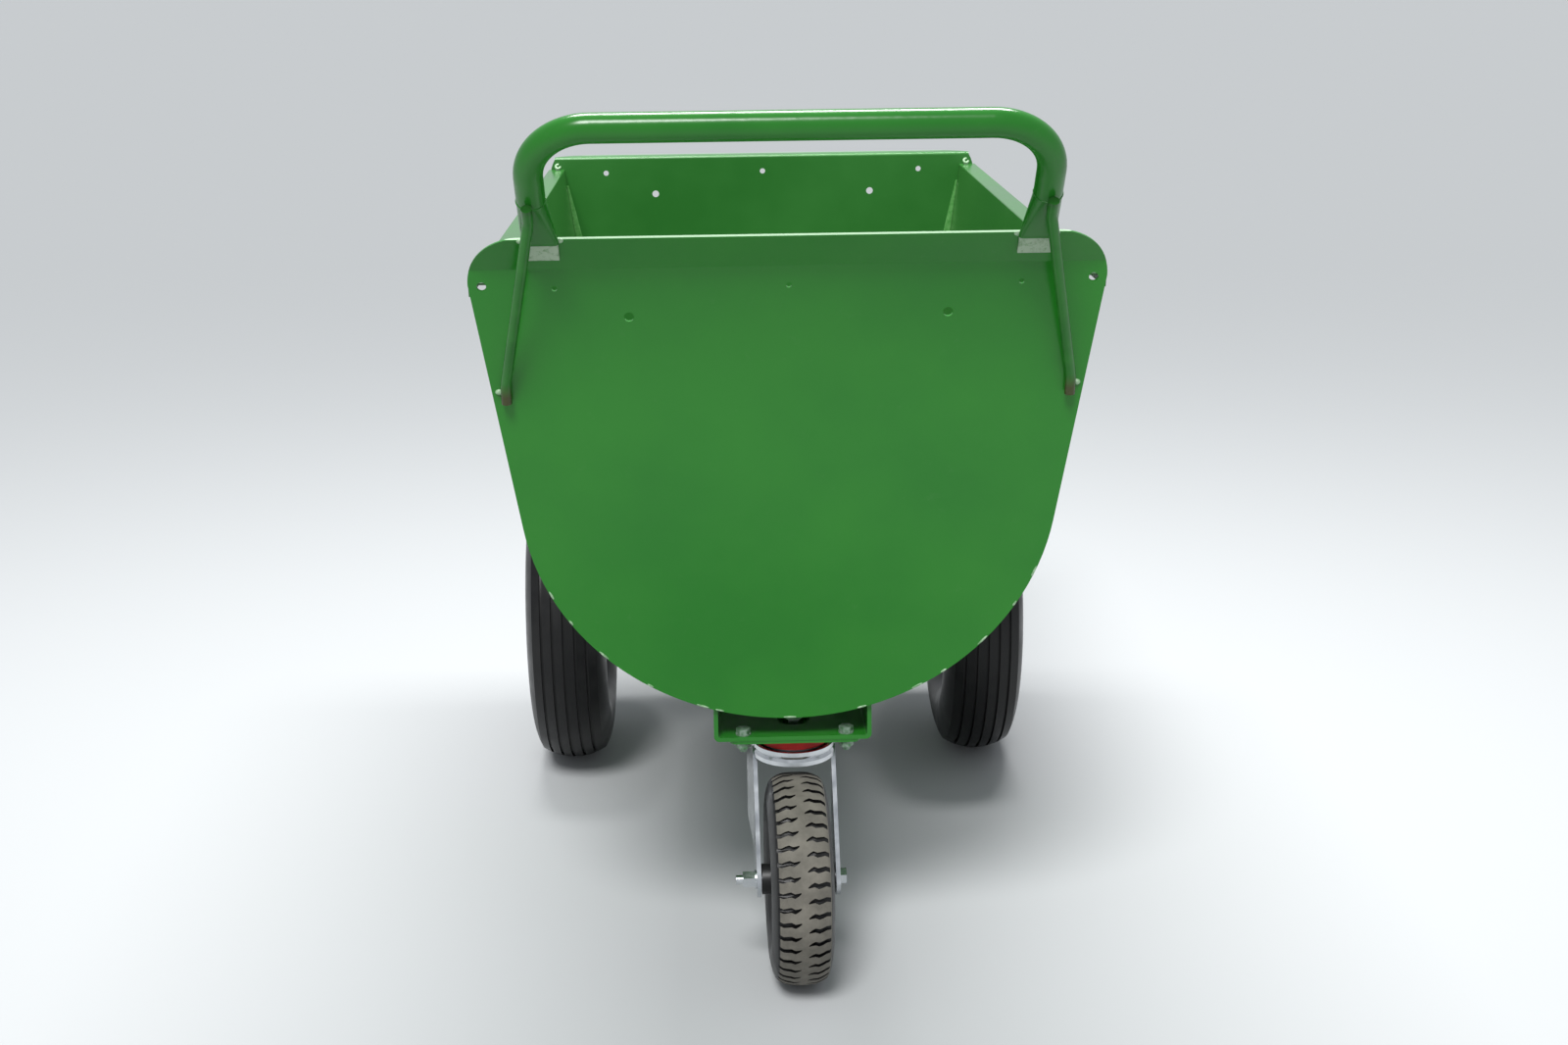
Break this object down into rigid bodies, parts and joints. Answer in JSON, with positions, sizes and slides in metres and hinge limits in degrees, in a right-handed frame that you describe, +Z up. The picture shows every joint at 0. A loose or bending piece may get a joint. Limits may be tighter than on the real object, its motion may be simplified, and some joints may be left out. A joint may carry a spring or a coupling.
{
  "type": "feed trolley",
  "caption": "Three-wheeled feed trolley: green round-bottomed sheet tub between flanged end plates, bent tube push handle, pneumatic wheels and a swivel caster.",
  "frame": {"origin": "on the floor below the middle of the outer length and width", "axes": "+X to the right as seen from behind, +Y forward away from the handle, +Z up"},
  "size_m": [0.651, 1.146, 0.9183],
  "materials": {
    "green_paint": "gloss",
    "worn_green_paint": "worn gloss",
    "grey_paint": "satin",
    "zinc": "zinc plated",
    "steel": "satin",
    "red_plastic": "gloss",
    "black_plastic": "matt",
    "tyre": "matt",
    "tube_rubber": "matt"
  },
  "bodies": {
    "trolley": {"tub_sheet": "green_paint", "rear_plate": "green_paint", "front_plate": "green_paint", "handle_tube": "green_paint", "handle_feet": "worn_green_paint", "brace_left": "worn_green_paint", "brace_right": "worn_green_paint", "axle_beam": "green_paint", "axle_saddle_rear": "green_paint", "axle_saddle_front": "green_paint", "axle_bushes": "steel", "main_axle": "steel", "axle_washers": "zinc", "cotter_pins": "zinc", "caster_bracket": "green_paint", "caster_top_plate": "green_paint", "caster_plate_bolts": "zinc", "caster_plate_washers": "zinc", "caster_plate_nuts": "zinc", "upper_race": "steel", "red_seal": "red_plastic", "kingpin": "zinc", "lower_balls": "steel", "lower_race": "steel", "kingpin_nut": "zinc"},
    "left_wheel": {"left_tyre": "tyre", "left_inner_tube": "tube_rubber", "left_rim_outer": "grey_paint", "left_rim_inner": "grey_paint", "left_hub": "grey_paint", "left_bearings": "steel", "left_rim_bolts": "zinc", "left_rim_nuts": "zinc", "left_valve": "tube_rubber"},
    "right_wheel": {"right_tyre": "tyre", "right_inner_tube": "tube_rubber", "right_rim_outer": "grey_paint", "right_rim_inner": "grey_paint", "right_hub": "grey_paint", "right_bearings": "steel", "right_rim_bolts": "zinc", "right_rim_nuts": "zinc", "right_valve": "tube_rubber"},
    "swivel_fork": {"caster_fork": "zinc", "fork_race": "steel", "upper_balls": "steel", "caster_axle_bolt": "zinc", "caster_axle_nut": "zinc", "caster_axle_washer": "zinc", "caster_axle_sleeve": "steel"},
    "caster_wheel": {"caster_tyre": "tyre", "caster_inner_tube": "tube_rubber", "caster_rim_left": "grey_paint", "caster_rim_right": "grey_paint", "caster_hub": "black_plastic", "caster_bearings": "steel", "caster_rim_bolts": "zinc", "caster_rim_nuts": "zinc", "caster_valve": "tube_rubber"}
  },
  "joints": [
    {"name": "left_wheel_spin", "type": "hinge", "parent": "trolley", "child": "left_wheel", "pos_m": [-0.266, 0.33202, 0.2], "axis": [1, 0, 0], "continuous": true},
    {"name": "right_wheel_spin", "type": "hinge", "parent": "trolley", "child": "right_wheel", "pos_m": [0.266, 0.33202, 0.2], "axis": [1, 0, 0], "continuous": true},
    {"name": "caster_swivel", "type": "hinge", "parent": "trolley", "child": "swivel_fork", "pos_m": [0.0052, -0.28586, 0.11], "axis": [0, 0, 1], "continuous": true},
    {"name": "caster_wheel_spin", "type": "hinge", "parent": "swivel_fork", "child": "caster_wheel", "pos_m": [0.00668, -0.33584, 0.11], "axis": [0.9996, 0.0297, 0], "continuous": true}
  ]
}
